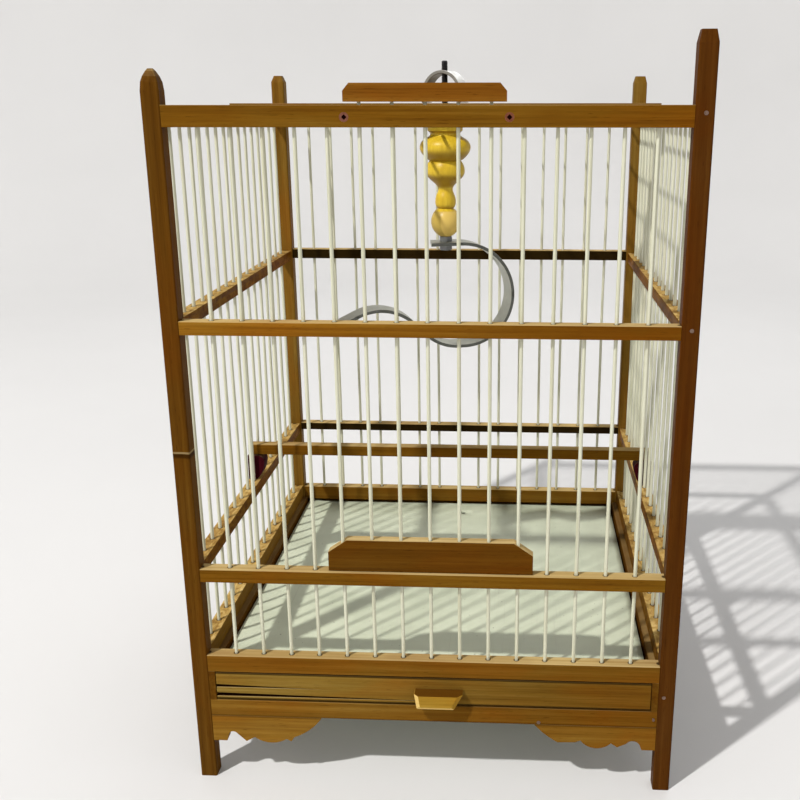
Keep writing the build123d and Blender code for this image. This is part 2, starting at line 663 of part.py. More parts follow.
# The wing nut is a bent strip too: an arch on the rod whose two wings come down to the roof batten.
WING_FOOT = BATTEN_TOP + BODY_GAP
WING_SPRING = WING_TOP - WING_THICK / 2 - WING_RADIUS
with BuildPart() as wing_nut:
    with BuildSketch(upright_plane(WING_YAW)):
        with BuildLine():
            Line((-WING_RADIUS, WING_FOOT), (-WING_RADIUS, WING_SPRING))
            ThreePointArc(
                (-WING_RADIUS, WING_SPRING), (0, WING_SPRING + WING_RADIUS), (WING_RADIUS, WING_SPRING)
            )
            Line((WING_RADIUS, WING_SPRING), (WING_RADIUS, WING_FOOT))
        trace(line_width=WING_THICK)
    extrude(amount=WING_WIDTH / 2, both=True)
    with Locations((*hanger_axis, WING_TOP)):
        Cylinder(ROD_RADIUS + 0.08, 4 * WING_THICK, mode=Mode.SUBTRACT)
keep(wing_nut, "wing_nut")
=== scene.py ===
import math

import bpy
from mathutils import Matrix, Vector, noise


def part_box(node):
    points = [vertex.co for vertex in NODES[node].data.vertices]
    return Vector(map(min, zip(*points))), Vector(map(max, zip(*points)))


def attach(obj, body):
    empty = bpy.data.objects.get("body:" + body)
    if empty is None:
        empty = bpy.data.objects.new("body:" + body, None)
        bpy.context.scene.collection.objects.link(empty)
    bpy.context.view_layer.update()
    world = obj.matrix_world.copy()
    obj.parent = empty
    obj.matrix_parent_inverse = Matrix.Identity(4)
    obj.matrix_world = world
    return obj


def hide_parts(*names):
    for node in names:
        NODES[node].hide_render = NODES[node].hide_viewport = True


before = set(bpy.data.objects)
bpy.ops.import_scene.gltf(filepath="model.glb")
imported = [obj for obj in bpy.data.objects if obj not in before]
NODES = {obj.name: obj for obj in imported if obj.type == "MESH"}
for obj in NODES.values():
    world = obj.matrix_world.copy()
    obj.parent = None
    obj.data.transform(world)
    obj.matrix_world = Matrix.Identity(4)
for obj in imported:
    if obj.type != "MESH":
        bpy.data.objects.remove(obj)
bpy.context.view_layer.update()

MM = 0.001
SIDES = ("front", "back", "left", "right")


# ------------------------------------------------------------------ node materials
class Paint:
    """A node material under construction. Its methods add nodes and return their sockets."""

    def __init__(self, name, **sockets):
        self.mat = bpy.data.materials.new(name)
        self.mat.use_nodes = True
        self.tree = self.mat.node_tree
        self.bsdf = self.tree.nodes["Principled BSDF"]
        self.point = self.add("ShaderNodeTexCoord").outputs["Object"]
        for key, value in sockets.items():
            self.set(key.replace("_", " "), value)

    def add(self, kind, inputs=None, **settings):
        node = self.tree.nodes.new(kind)
        for key, value in settings.items():
            setattr(node, key, value)
        for key, value in (inputs or {}).items():
            self.plug(node.inputs[key], value)
        return node

    def plug(self, socket, value):
        if isinstance(value, bpy.types.NodeSocket):
            self.tree.links.new(value, socket)
        elif isinstance(value, tuple) and len(value) == 3 and socket.type == "RGBA":
            socket.default_value = (*value, 1)
        else:
            socket.default_value = value

    def set(self, name, value):
        self.plug(self.bsdf.inputs[name], value)

    def noise(self, scale, detail=4.0, roughness=0.55, distortion=0.0, shift=0.0):
        """Noise in 0..1, with its own number of features per metre along X, Y and Z."""
        offset = (shift, shift * 1.7, shift * 2.3)
        mapping = self.add("ShaderNodeMapping", {"Vector": self.point, "Scale": scale, "Location": offset})
        texture = self.add(
            "ShaderNodeTexNoise",
            {
                "Vector": mapping.outputs[0],
                "Scale": 1.0,
                "Detail": detail,
                "Roughness": roughness,
                "Distortion": distortion,
            },
        )
        return texture.outputs["Fac"]

    def math(self, operation, a, b=0.0, clamp=False):
        node = self.add("ShaderNodeMath", operation=operation, use_clamp=clamp)
        self.plug(node.inputs[0], a)
        self.plug(node.inputs[1], b)
        return node.outputs[0]

    def span(self, value, low, high, to_low=0.0, to_high=1.0):
        """value stretched from low..high to to_low..to_high, clamped and eased."""
        node = self.add(
            "ShaderNodeMapRange",
            {"Value": value, "From Min": low, "From Max": high, "To Min": to_low, "To Max": to_high},
            interpolation_type="SMOOTHSTEP",
        )
        return node.outputs["Result"]

    def ramp(self, value, *stops):
        node = self.add("ShaderNodeValToRGB", {"Fac": value})
        elements = node.color_ramp.elements
        while len(elements) < len(stops):
            elements.new(0.5)
        for element, (place, colour) in zip(elements, stops):
            element.position = place
            element.color = (*colour, 1)
        return node.outputs["Color"]

    def mix(self, factor, a, b, blend="MIX"):
        node = self.add("ShaderNodeMix", data_type="RGBA", blend_type=blend)
        self.plug(node.inputs["Factor"], factor)
        self.plug(node.inputs[6], a)
        self.plug(node.inputs[7], b)
        return node.outputs[2]

    def axis(self, which):
        return self.add("ShaderNodeSeparateXYZ", {"Vector": self.point}).outputs[which]

    def facing_up(self):
        normal = self.add("ShaderNodeNewGeometry").outputs["Normal"]
        return self.add("ShaderNodeSeparateXYZ", {"Vector": normal}).outputs["Z"]

    def facing(self, direction):
        """How far a face looks along a direction of the object: the cosine between them."""
        normal = self.add("ShaderNodeTexCoord").outputs["Normal"]
        node = self.add("ShaderNodeVectorMath", operation="DOT_PRODUCT")
        self.plug(node.inputs[0], normal)
        self.plug(node.inputs[1], direction)
        return node.outputs["Value"]

    def bump(self, height, distance, strength=1.0, under=None):
        node = self.add("ShaderNodeBump", {"Height": height, "Distance": distance, "Strength": strength})
        if under is not None:
            self.plug(node.inputs["Normal"], under)
        return node.outputs["Normal"]


def grain_scale(along, length, across):
    """Noise scale for fibres that run along axis 0, 1 or 2: features per metre along them and across them."""
    scale = [across] * 3
    scale[along] = length
    return tuple(scale)


FIBRE_CONTRAST = 0.6
PORE_SHADE = 0.4
DIRT_SHADE = 0.35
# Painted shade round the bars where they go into the rails.
HOLE_RIM_SHADE = (0.028, 0.014, 0.006)
RING_SCAR = (0.30, 0.22, 0.10)
WEATHERED_END = 0.10
SUN_BLEACHED = (1.62, 1.60, 1.8)
STAINED = (0.84, 0.66, 0.45)


def shaded(tone, share):
    return tuple(channel * share for channel in tone)


def weather(paint, colour, amount):
    """The left end of the wood is bleached by the sun and the right end is stained."""
    place = paint.span(paint.axis(0), -WEATHERED_END, WEATHERED_END)
    return paint.mix(amount, colour, paint.ramp(place, (0.0, SUN_BLEACHED), (1.0, STAINED)), "MULTIPLY")


def hew(paint, colour, height, shift):
    """Rough hewn wood: chips of light and dark across the stick."""
    chips = paint.noise((330, 150, 300), detail=3, distortion=0.7, shift=shift)
    dark_chip, flat_chip, light_chip = (0.58, 0.44, 0.26), (0.98, 0.88, 0.60), (1.30, 1.28, 1.15)
    flecks = paint.ramp(chips, (0.36, dark_chip), (0.5, flat_chip), (0.64, light_chip))
    colour = paint.mix(0.85, colour, flecks, "MULTIPLY")
    return colour, paint.math("ADD", height, paint.math("MULTIPLY", chips, 2.0))


def paint_hole_shade(paint, colour, hole_line):
    """Painted shade: a dark rim round each bar of a row, where it goes into the wood."""
    spread, first, pitch, other, place = hole_line
    steps = paint.math("DIVIDE", paint.math("SUBTRACT", paint.axis(spread), first - pitch / 2), pitch)
    off = paint.math("MULTIPLY", paint.math("SUBTRACT", paint.math("FRACT", steps), 0.5), pitch)
    side = paint.math("SUBTRACT", paint.axis(other), place)
    squares = paint.math("ADD", paint.math("MULTIPLY", off, off), paint.math("MULTIPLY", side, side))
    rim = paint.span(paint.math("SQRT", squares), 1.1 * MM, 1.9 * MM, 0.9, 0.0)
    return paint.mix(rim, colour, HOLE_RIM_SHADE)


def bamboo_node(paint, colour, patch, ring, dirt):
    """A node of the bamboo: a dark line that wanders round the stick, with a pale scar above it."""
    wander = paint.math("MULTIPLY", paint.math("SUBTRACT", patch, 0.5), 5 * MM)
    level = paint.math("SUBTRACT", paint.math("ADD", paint.axis(2), wander), ring)
    away = paint.math("ABSOLUTE", level)
    above = paint.math("ABSOLUTE", paint.math("SUBTRACT", level, 1.6 * MM))
    colour = paint.mix(paint.span(away, 0.5 * MM, 2.2 * MM, 0.75, 0.0), colour, dirt)
    return paint.mix(paint.span(above, 0.2 * MM, 0.8 * MM, 0.75, 0.0), colour, RING_SCAR)


def bamboo(
    name, along, tones, shift=0.0, gloss=0.42, hole_line=None, lit_top=0.5,
    rings=(), recess_shade=None, weathered=0.0, seams=(), facets=(), hewn=False,
):
    """Split bamboo, lacquered: fine long fibres along an axis, warm and olive patches, and upper faces
    painted paler as a painted highlight.

    tones are the dark, middle and light wood.
    hole_line is (axis the bars are spread along, first bar, pitch, other axis, its place) of a row of bars,
    round which shade is painted.
    rings are heights of the bamboo's own nodes on an upright stick.
    sunk is (y of the front face, tone): painted shade, the tone given to all that lies deeper, in a split or
    a hole.
    weathered is how far the left end is bleached and the right end stained.
    seams are (height, share): dirt gathers at these heights.
    facets are (direction, tone, share): faces that look along the direction take a share of the tone.
    hewn wood is rough and flecked.
    """
    dark, middle, light = tones
    dirt = shaded(dark, DIRT_SHADE)
    paint = Paint(name, Specular_IOR_Level=0.01)
    fibre = paint.noise(grain_scale(along, 7, 420), detail=5, roughness=0.6, shift=shift)
    fine = paint.noise(grain_scale(along, 60, 2400), detail=3, shift=shift + 5)
    patch = paint.noise(grain_scale(along, 13, 45), detail=3, shift=shift + 9, distortion=0.5)
    pores = paint.noise(grain_scale(along, 150, 2300), detail=1, shift=shift + 13)

    colour = paint.ramp(fibre, (0.28, dark), (0.5, middle), (0.74, light))
    colour = paint.mix(1 - FIBRE_CONTRAST, colour, middle)
    fine_tone = paint.ramp(
        fine, (0.25, (0.80, 0.78, 0.74)), (0.6, (1.0, 1.0, 1.0)), (0.85, (1.08, 1.07, 1.04))
    )
    colour = paint.mix(0.8, colour, fine_tone, "MULTIPLY")
    patch_tone = paint.ramp(
        patch, (0.3, (1.06, 0.84, 0.62)), (0.5, (0.97, 0.97, 0.95)), (0.72, (1.02, 1.16, 1.5))
    )
    colour = paint.mix(0.85, colour, patch_tone, "MULTIPLY")
    if weathered:
        colour = weather(paint, colour, weathered)
    colour = paint.mix(paint.span(pores, 0.66, 0.74, 0.0, 0.4), colour, shaded(dark, PORE_SHADE))

    # Painted highlight: faces that look up are painted paler, as if lit from above, and made rougher.
    up = paint.span(paint.facing_up(), 0.35, 0.9, 0.0, lit_top)
    up = paint.math("MULTIPLY", up, paint.span(patch, 0.25, 0.6, 0.6, 1.0))
    pale = paint.ramp(fibre, (0.3, (0.54, 0.37, 0.130)), (0.65, (0.76, 0.58, 0.270)))
    colour = paint.mix(up, colour, pale)

    height = paint.math("ADD", paint.math("MULTIPLY", fibre, 0.7), paint.math("MULTIPLY", fine, 0.3))
    if hewn:
        colour, height = hew(paint, colour, height, shift + 7)
    if hole_line:
        colour = paint_hole_shade(paint, colour, hole_line)
    for ring in rings:
        colour = bamboo_node(paint, colour, patch, ring, dirt)
    for seam, share in seams:
        away = paint.math("ABSOLUTE", paint.math("SUBTRACT", paint.axis(2), seam))
        colour = paint.mix(paint.span(away, 0.5 * MM, 1.3 * MM, share, 0.0), colour, dirt)
    for direction, tone, share in facets:
        colour = paint.mix(paint.span(paint.facing(direction), 0.82, 0.96, 0.0, share), colour, tone)
    # Painted shade: all that lies deeper than the front face, in a split or a hole, is painted dark.
    if recess_shade:
        face, tone = recess_shade
        deep = paint.span(paint.math("SUBTRACT", paint.axis(1), face), 0.35 * MM, 0.9 * MM)
        colour = paint.mix(deep, colour, tone)

    paint.set("Base Color", colour)
    rough = paint.span(fibre, 0.2, 0.8, gloss - 0.08, gloss + 0.16)
    paint.set("Roughness", paint.math("ADD", rough, paint.math("MULTIPLY", up, 0.25), clamp=True))
    paint.set("Normal", paint.bump(height, 0.3 * MM, 0.45))
    return paint.mat


def use(material, *names):
    for name in names:
        piece = NODES[name]
        piece.data.materials.clear()
        piece.data.materials.append(material)


def bar_line(node, spread, count):
    """First bar and pitch of a row of equal bars, from the node's own box."""
    low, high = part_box(node)
    across = 1 - spread
    radius = (high[across] - low[across]) / 2
    first = low[spread] + radius
    pitch = (high[spread] - low[spread] - 2 * radius) / (count - 1)
    return first, pitch, low[across] + radius


BARS_PER_WALL = 15
WALL_BARS = {
    "front": (0, *bar_line("front_bars", 0, BARS_PER_WALL)),
    "back": (0, *bar_line("back_bars", 0, BARS_PER_WALL)),
    "left": (1, *bar_line("left_bars", 1, BARS_PER_WALL)),
    "right": (1, *bar_line("right_bars", 1, BARS_PER_WALL)),
}

# Tones are the dark, middle and light wood of a piece.
RAIL_TONES = ((0.0861, 0.0300, 0.0024), (0.1567, 0.0659, 0.0046), (0.2204, 0.1077, 0.0115))
DARK_RAIL_TONES = ((0.0568, 0.0194, 0.0021), (0.1080, 0.0426, 0.0036), (0.1602, 0.0736, 0.0086))
LEFT_POST_TONES = ((0.0537, 0.0191, 0.0022), (0.1007, 0.0398, 0.0040), (0.1469, 0.0664, 0.0082))
RIGHT_POST_TONES = ((0.0421, 0.0121, 0.0018), (0.0787, 0.0253, 0.0032), (0.1152, 0.0421, 0.0063))
BACK_POST_TONES = ((0.0982, 0.0470, 0.0067), (0.1750, 0.0893, 0.0127), (0.2475, 0.1362, 0.0240))
HEAD_TONES = ((0.0990, 0.0300, 0.0032), (0.1860, 0.0675, 0.0060), (0.2530, 0.1100, 0.0140))
GOLD_TONES = ((0.0869, 0.0351, 0.0038), (0.1556, 0.0720, 0.0072), (0.2196, 0.1155, 0.0166))
PANEL_TONES = ((0.0880, 0.0447, 0.0075), (0.1570, 0.0915, 0.0135), (0.2200, 0.1456, 0.0300))
BRACKET_TONES = ((0.110, 0.046, 0.0060), (0.198, 0.094, 0.0105), (0.265, 0.142, 0.0215))
CUT_TONES = ((0.2577, 0.1370, 0.0135), (0.3543, 0.1975, 0.0221), (0.4616, 0.2788, 0.0443))
MAROON_TONES = ((0.020, 0.0015, 0.0030), (0.040, 0.0030, 0.0055), (0.070, 0.0080, 0.0100))
PLUG_TONES = ((0.1125, 0.0324, 0.0196), (0.1875, 0.0720, 0.0455), (0.2475, 0.1188, 0.0770))

SUNLIT_INNER_FACE = (((1, 0, 0), (0.215, 0.110, 0.016), 0.75),)
# The inner faces of the back rails, which look to the front, are painted nearly black.
DARK_INNER_FACE = (((0, -1, 0), (0.012, 0.0075, 0.0018), 0.95),)
# The knob's top face is painted darker. Its left and lower bevels are painted paler, a painted highlight.
BEVEL_HIGHLIGHT = (0.80, 0.56, 0.19)
KNOB_FACETS = (
    ((0, 0, 1), (0.080, 0.026, 0.002), 0.9),
    ((-0.7, -0.7, 0), BEVEL_HIGHLIGHT, 0.8),
    ((0, -0.7, -0.7), BEVEL_HIGHLIGHT, 0.8),
)
# Painted shade in the tray front's splits and in the sunken parts of the door plugs.
SPLIT_SHADE = (0.030, 0.009, 0.002)
PLUG_HOLE_SHADE = (0.022, 0.002, 0.002)
TIGHT_SEAM = 0.45
OPEN_SEAM = 0.9
WORN_FRONT_RAILS = {"upper_rail": 0.85, "bottom_rail": 0.15, "base_rail": 0.5}
RAILS = {
    "top_rail": RAIL_TONES,
    "upper_rail": RAIL_TONES,
    "lower_rail": RAIL_TONES,
    "bottom_rail": GOLD_TONES,
    "base_rail": GOLD_TONES,
}
POSTS = {
    "post_front_left": LEFT_POST_TONES,
    "post_front_right": RIGHT_POST_TONES,
    "post_back_left": BACK_POST_TONES,
    "post_back_right": BACK_POST_TONES,
}
NODE_RING = 193 * MM


def rail_wood(rail, side, tones, shift):
    """The wood of one rail, with painted shade round its bars and a painted highlight on its upper faces,
    weathered by the sun and marked by its neighbours.
    """
    name = f"{rail}_{side}"
    spread, first, pitch, place = WALL_BARS[side]
    holes = (spread, first, pitch, 1 - spread, place)
    joints = ()
    # How strongly the rail's upper faces are painted paler, a painted highlight.
    lit_top = 0.65 if side in ("front", "back") else 0.6
    if rail == "base_rail":
        holes, joints, lit_top = None, ((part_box(name)[0].z, TIGHT_SEAM),), 0.1
    inner = ()
    if name == "bottom_rail_left":
        inner = SUNLIT_INNER_FACE
    if name in ("upper_rail_back", "lower_rail_back"):
        inner = DARK_INNER_FACE
    return bamboo(
        name, spread, tones, shift, hole_line=holes, lit_top=lit_top, seams=joints, facets=inner,
        weathered=WORN_FRONT_RAILS.get(rail, 0.0) if side == "front" else 0.0,
        hewn=side in ("left", "right"),
    )


for index, side in enumerate(SIDES):
    for level, (rail, tones) in enumerate(RAILS.items()):
        use(rail_wood(rail, side, tones, 3.1 * index + 17.3 * level), f"{rail}_{side}")

for index, (post, tones) in enumerate(POSTS.items()):
    rings = (NODE_RING,) if post == "post_front_left" else ()
    use(bamboo(post, 2, tones, 7.7 * index, gloss=0.34, lit_top=0.35, rings=rings), post)

use(bamboo("batten_wood", 0, RAIL_TONES, 41), "roof_batten")
bracket_joint = ((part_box("bracket_left")[1].z, TIGHT_SEAM),)
bracket_wood = bamboo("bracket_wood", 0, BRACKET_TONES, 47, weathered=0.3, seams=bracket_joint)
use(bracket_wood, "bracket_left", "bracket_right")
panel_low, panel_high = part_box("tray_front")
panel_wood = bamboo(
    "tray_front_wood", 0, PANEL_TONES, 53, gloss=0.38, weathered=0.7,
    recess_shade=(panel_low.y, SPLIT_SHADE), seams=((panel_low.z, OPEN_SEAM), (panel_high.z, OPEN_SEAM)),
)
use(panel_wood, "tray_front")
use(bamboo("door_sill_wood", 0, DARK_RAIL_TONES, 59, gloss=0.38, lit_top=0.75), "door_sill")
use(bamboo("door_head_wood", 0, HEAD_TONES, 61, gloss=0.38, lit_top=0.7), "door_head")
use(bamboo("perch_wood", 0, RAIL_TONES, 67, gloss=0.5, lit_top=0.5), "perch")
use(bamboo("knob_wood", 0, CUT_TONES, 71, lit_top=0.0, facets=KNOB_FACETS), "tray_knob")
bay_wood = bamboo("bay_wood", 1, DARK_RAIL_TONES, 73, gloss=0.6, lit_top=0.2)
for strip in ("tray_guide", "tray_runner", "tray_side"):
    use(bay_wood, f"{strip}_left", f"{strip}_right")
bay_back_wood = bamboo("bay_back_wood", 0, DARK_RAIL_TONES, 79, gloss=0.6, lit_top=0.2)
use(bay_back_wood, "tray_bay_back", "tray_back")
block_wood = bamboo("maroon_wood", 2, MAROON_TONES, 83, gloss=0.5, lit_top=0.1)
use(block_wood, "perch_block_left", "perch_block_right")
plug_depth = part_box("door_plugs")[0].y
use(bamboo("plug_wood", 1, PLUG_TONES, 89, recess_shade=(plug_depth, PLUG_HOLE_SHADE)), "door_plugs")


def pale_rod():
    """Thin scraped rods, painted a greenish cream: faint lengthwise scraping and clouds of dirt."""
    glow = (2 * MM, 2 * MM, 1.5 * MM)
    paint = Paint("pale_rod", Roughness=0.42, Subsurface_Weight=0.08, Subsurface_Radius=glow)
    streak = paint.noise((1500, 1500, 20), detail=3)
    grime = paint.noise((40, 40, 18), detail=4, shift=4)
    colour = paint.ramp(
        streak, (0.3, (0.46, 0.46, 0.32)), (0.55, (0.61, 0.61, 0.47)), (0.8, (0.69, 0.69, 0.55))
    )
    colour = paint.mix(paint.span(grime, 0.45, 0.75, 0.0, 0.35), colour, (0.50, 0.46, 0.30))
    paint.set("Base Color", colour)
    paint.set("Normal", paint.bump(streak, 0.1 * MM, 0.5))
    return paint.mat


def make_piece(name, points, faces, material, body, slot, *stands_for):
    """A smooth mesh that rides a body, takes the given material and stands for CAD nodes. Its slot is not
    used.
    """
    mesh = bpy.data.meshes.new(name)
    mesh.from_pydata([tuple(point) for point in points], [], faces)
    mesh.validate()
    mesh.polygons.foreach_set("use_smooth", [True] * len(mesh.polygons))
    mesh.set_sharp_from_angle(angle=math.radians(40))
    mesh.materials.append(material)
    piece = bpy.data.objects.new(name, mesh)
    bpy.context.collection.objects.link(piece)
    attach(piece, body)
    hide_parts(*stands_for)
    return piece


ROD_SIDES = 12
ROD_STEP = 9 * MM
ROD_END = 0.6
ROD_FACETS = 0.09


def rod_mesh(starts_and_ends, radius, waver, seed, points, faces):
    """Adds round rods: nearly straight, nearly round, with softened ends."""
    for number, (start, end) in enumerate(starts_and_ends):
        along = (end - start).normalized()
        across = along.orthogonal().normalized()
        other = along.cross(across)
        length = (end - start).length
        rings = max(4, round(length / ROD_STEP))
        base = len(points)
        for ring in range(rings + 1):
            share = ring / rings
            place = start.lerp(end, share)
            drift = Vector((place.z / 0.09, number * 3.7, seed))
            fade = math.sin(math.pi * share)
            bend = across * noise.noise(drift) + other * noise.noise(drift + Vector((0, 0, 9)))
            centre = place + bend * waver * fade
            at_end = ROD_END if ring in (0, rings) else 1.0
            for side in range(ROD_SIDES):
                turn = 2 * math.pi * side / ROD_SIDES
                facet_spot = Vector((number * 5.1, side * 0.9, place.z / 0.12 + seed))
                facet = 1 - ROD_FACETS * abs(noise.noise(facet_spot))
                spoke = across * math.cos(turn) + other * math.sin(turn)
                points.append(centre + spoke * radius * facet * at_end)
        for ring in range(rings):
            for side in range(ROD_SIDES):
                a = base + ring * ROD_SIDES + side
                b = base + ring * ROD_SIDES + (side + 1) % ROD_SIDES
                faces.append((a, b, b + ROD_SIDES, a + ROD_SIDES))
        faces.append(tuple(base + side for side in reversed(range(ROD_SIDES))))
        last = base + rings * ROD_SIDES
        faces.append(tuple(last + side for side in range(ROD_SIDES)))


def wall_rods(node, side, numbers, waver, body="cage"):
    """The rods of one CAD node of upright bars, numbered from 0 along the wall."""
    spread, first, pitch, place = WALL_BARS[side]
    low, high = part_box(node)
    radius = (high[1 - spread] - low[1 - spread]) / 2
    ends = []
    for number in numbers:
        foot = Vector((0, 0, low.z))
        foot[spread] = first + number * pitch
        foot[1 - spread] = place
        ends.append((foot, Vector((foot.x, foot.y, high.z))))
    points, faces = [], []
    rod_mesh(ends, radius, waver, len(node) + ord(side[0]), points, faces)
    return make_piece(f"{node}_drawn", points, faces, rod_paint, body, "bar_rod", node)


ROOF_RODS = 16
ROOF_SEED = 77
ROOF_WAVER = 0.3 * MM


def roof_rods():
    """The level rods of the roof, front to back."""
    low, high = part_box("roof_bars")
    radius = (high.z - low.z) / 2
    pitch = (high.x - low.x - 2 * radius) / (ROOF_RODS - 1)
    ends = []
    for number in range(ROOF_RODS):
        x = low.x + radius + number * pitch
        ends.append((Vector((x, low.y, low.z + radius)), Vector((x, high.y, low.z + radius))))
    points, faces = [], []
    rod_mesh(ends, radius, ROOF_WAVER, ROOF_SEED, points, faces)
    return make_piece("roof_bars_drawn", points, faces, rod_paint, "cage", "bar_rod", "roof_bars")


rod_paint = pale_rod()
DOOR_RODS = range(5, 10)
FIXED_RODS = [number for number in range(BARS_PER_WALL) if number not in DOOR_RODS]
wall_rods("front_bars", "front", FIXED_RODS, 0.08 * MM)
wall_rods("front_short_bars", "front", DOOR_RODS, 0.15 * MM)
wall_rods("door_bars", "front", DOOR_RODS, 0.0, "door")
for side in SIDES[1:]:
    wall_rods(f"{side}_bars", side, range(BARS_PER_WALL), 0.45 * MM)
roof_rods()


def floor_plastic():
    """Flattened pipe plastic: pale grey-green, scuffed, with dark specks."""
    paint = Paint("floor_plastic", Subsurface_Weight=0.05, Subsurface_Radius=(3 * MM, 3 * MM, 3 * MM))
    cloud = paint.noise((18, 26, 20), detail=5)
    scratch = paint.noise((900, 14, 10), detail=4, shift=3, distortion=0.4)
    speck = paint.noise((420, 420, 420), detail=2, shift=8)
    colour = paint.ramp(
        cloud, (0.3, (0.50, 0.545, 0.395)), (0.5, (0.585, 0.63, 0.47)), (0.75, (0.67, 0.715, 0.545))
    )
    colour = paint.mix(paint.span(scratch, 0.6, 0.75, 0.0, 0.25), colour, (0.40, 0.41, 0.31))
    colour = paint.mix(paint.span(speck, 0.72, 0.76, 0.0, 0.7), colour, (0.16, 0.13, 0.08))
    paint.set("Base Color", colour)
    paint.set("Roughness", paint.span(cloud, 0.3, 0.7, 0.34, 0.52))
    paint.set("Normal", paint.bump(scratch, 0.1 * MM, 0.3, paint.bump(cloud, 0.8 * MM, 0.3)))
    return paint.mat


SHEET_CELL = 4 * MM
SHEET_THICK = 1.8 * MM
SHEET_DRAWN_THICK = 1.6 * MM
SHEET_CURL_WIDTH = 16 * MM
SHEET_CALM_EDGE = 30 * MM
SHEET_HOLE_FROM_BACK = 21 * MM
SHEET_HOLE = Vector((4.5 * MM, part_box("tray_sheet")[1].y - SHEET_HOLE_FROM_BACK))
SHEET_HOLE_RADIUS = 2.4 * MM
HOLE_BLOCK = 3


def sheet_top(x, y):
    """Height of the sheet's upper face: it waves a little, and its left edge curls up."""
    low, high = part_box("tray_sheet")
    flat_top = low.z + SHEET_THICK
    curl = max(0.0, 1 - (x - low.x) / SHEET_CURL_WIDTH) ** 2.2
    uneven = 0.75 + 0.25 * noise.noise(Vector((y / 0.05, 3, 1)))
    wave = noise.noise(Vector((x / 0.07, y / 0.05, 5)))
    calm = max(min(1.0, (high.y - y) / SHEET_CALM_EDGE, (y - low.y) / SHEET_CALM_EDGE), 0)
    lift = (high.z - flat_top) * curl * uneven * 0.98
    return flat_top + lift + (wave - 1) * 0.09 * MM + (wave - 0.6) * 0.16 * MM * calm


def wavy_sheet():
    """The floor sheet, flattened pipe plastic, with its one drilled hole."""
    low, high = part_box("tray_sheet")
    columns = round((high.x - low.x) / SHEET_CELL)
    rows = round((high.y - low.y) / SHEET_CELL)
    xs = [low.x + (high.x - low.x) * c / columns for c in range(columns + 1)]
    ys = [low.y + (high.y - low.y) * r / rows for r in range(rows + 1)]
    half_block = HOLE_BLOCK * SHEET_CELL / 2
    left = min(range(columns + 1), key=lambda c: abs(xs[c] - SHEET_HOLE.x + half_block))
    near = min(range(rows + 1), key=lambda r: abs(ys[r] - SHEET_HOLE.y + half_block))
    right, far = left + HOLE_BLOCK, near + HOLE_BLOCK
    points = [Vector((x, y, sheet_top(x, y))) for y in ys for x in xs]
    stride = columns + 1
    faces = []
    for r in range(rows):
        for c in range(columns):
            if left <= c < right and near <= r < far:
                continue
            a = r * stride + c
            faces.append((a, a + 1, a + stride + 1, a + stride))
    steps = range(HOLE_BLOCK)
    outline = [(near, left + k) for k in steps] + [(near + k, right) for k in steps]
    outline += [(far, right - k) for k in steps] + [(far - k, left) for k in steps]
    rim = len(points)
    for r, c in outline:
        spot = SHEET_HOLE + (Vector((xs[c], ys[r])) - SHEET_HOLE).normalized() * SHEET_HOLE_RADIUS
        points.append(Vector((spot.x, spot.y, sheet_top(spot.x, spot.y))))
    for k, (r, c) in enumerate(outline):
        following = (k + 1) % len(outline)
        r2, c2 = outline[following]
        faces.append((r * stride + c, r2 * stride + c2, rim + following, rim + k))
    sheet = make_piece("floor_sheet", points, faces, floor_plastic(), "tray", "floor_sheet", "tray_sheet")
    solid = sheet.modifiers.new("thickness", "SOLIDIFY")
    solid.thickness = SHEET_DRAWN_THICK
    solid.offset = -1
    return sheet


wavy_sheet()


BALL_HEIGHT = 15.5 * MM
BALL_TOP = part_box("finial")[0].z + BALL_HEIGHT
BARE_SIDE = (0.8, -0.6, 0)


def finial_lacquer():
    """Yellow lacquer on turned wood. Grain and turning lines show through. Faces that look down are painted
    dark, a painted shade. The lowest ball is worn bare.
    """
    paint = Paint("finial_lacquer", Coat_Weight=0.15, Coat_Roughness=0.34, Specular_IOR_Level=0.2)
    grain = paint.noise((420, 420, 40), detail=5, distortion=0.4)
    turning = paint.noise((8, 8, 1900), detail=2, shift=6)
    blotch = paint.noise((70, 70, 55), detail=3, shift=2)
    colour = paint.ramp(
        grain, (0.25, (0.52, 0.335, 0.016)), (0.5, (0.62, 0.420, 0.022)), (0.78, (0.72, 0.520, 0.040))
    )
    colour = paint.mix(paint.span(blotch, 0.45, 0.75, 0.0, 0.3), colour, (0.42, 0.235, 0.010))
    # Painted shade: faces that look down are painted dark brown.
    under = paint.span(paint.facing((0, 0, -1)), 0.15, 0.7, 0.0, 0.75)
    colour = paint.mix(under, colour, (0.20, 0.095, 0.004))
    ball = paint.span(paint.axis(2), BALL_TOP, BALL_TOP - 1 * MM)
    colour = paint.mix(paint.math("MULTIPLY", ball, 0.8), colour, (0.44, 0.31, 0.072))
    bare = paint.math("MULTIPLY", ball, paint.span(paint.facing(BARE_SIDE), 0.3, 0.42, 0.0, 0.85))
    colour = paint.mix(bare, colour, (0.70, 0.49, 0.120))
    paint.set("Base Color", colour)
    paint.set("Roughness", paint.span(grain, 0.2, 0.8, 0.34, 0.48))
    paint.set("Normal", paint.bump(turning, 0.12 * MM, 0.3, paint.bump(grain, 0.15 * MM, 0.2)))
    return paint.mat


use(finial_lacquer(), "finial")


RUST = (0.06, 0.045, 0.03)
EVEN_LINES = (900, 900, 900)
DRAWN_LINES = (300, 300, 1600)


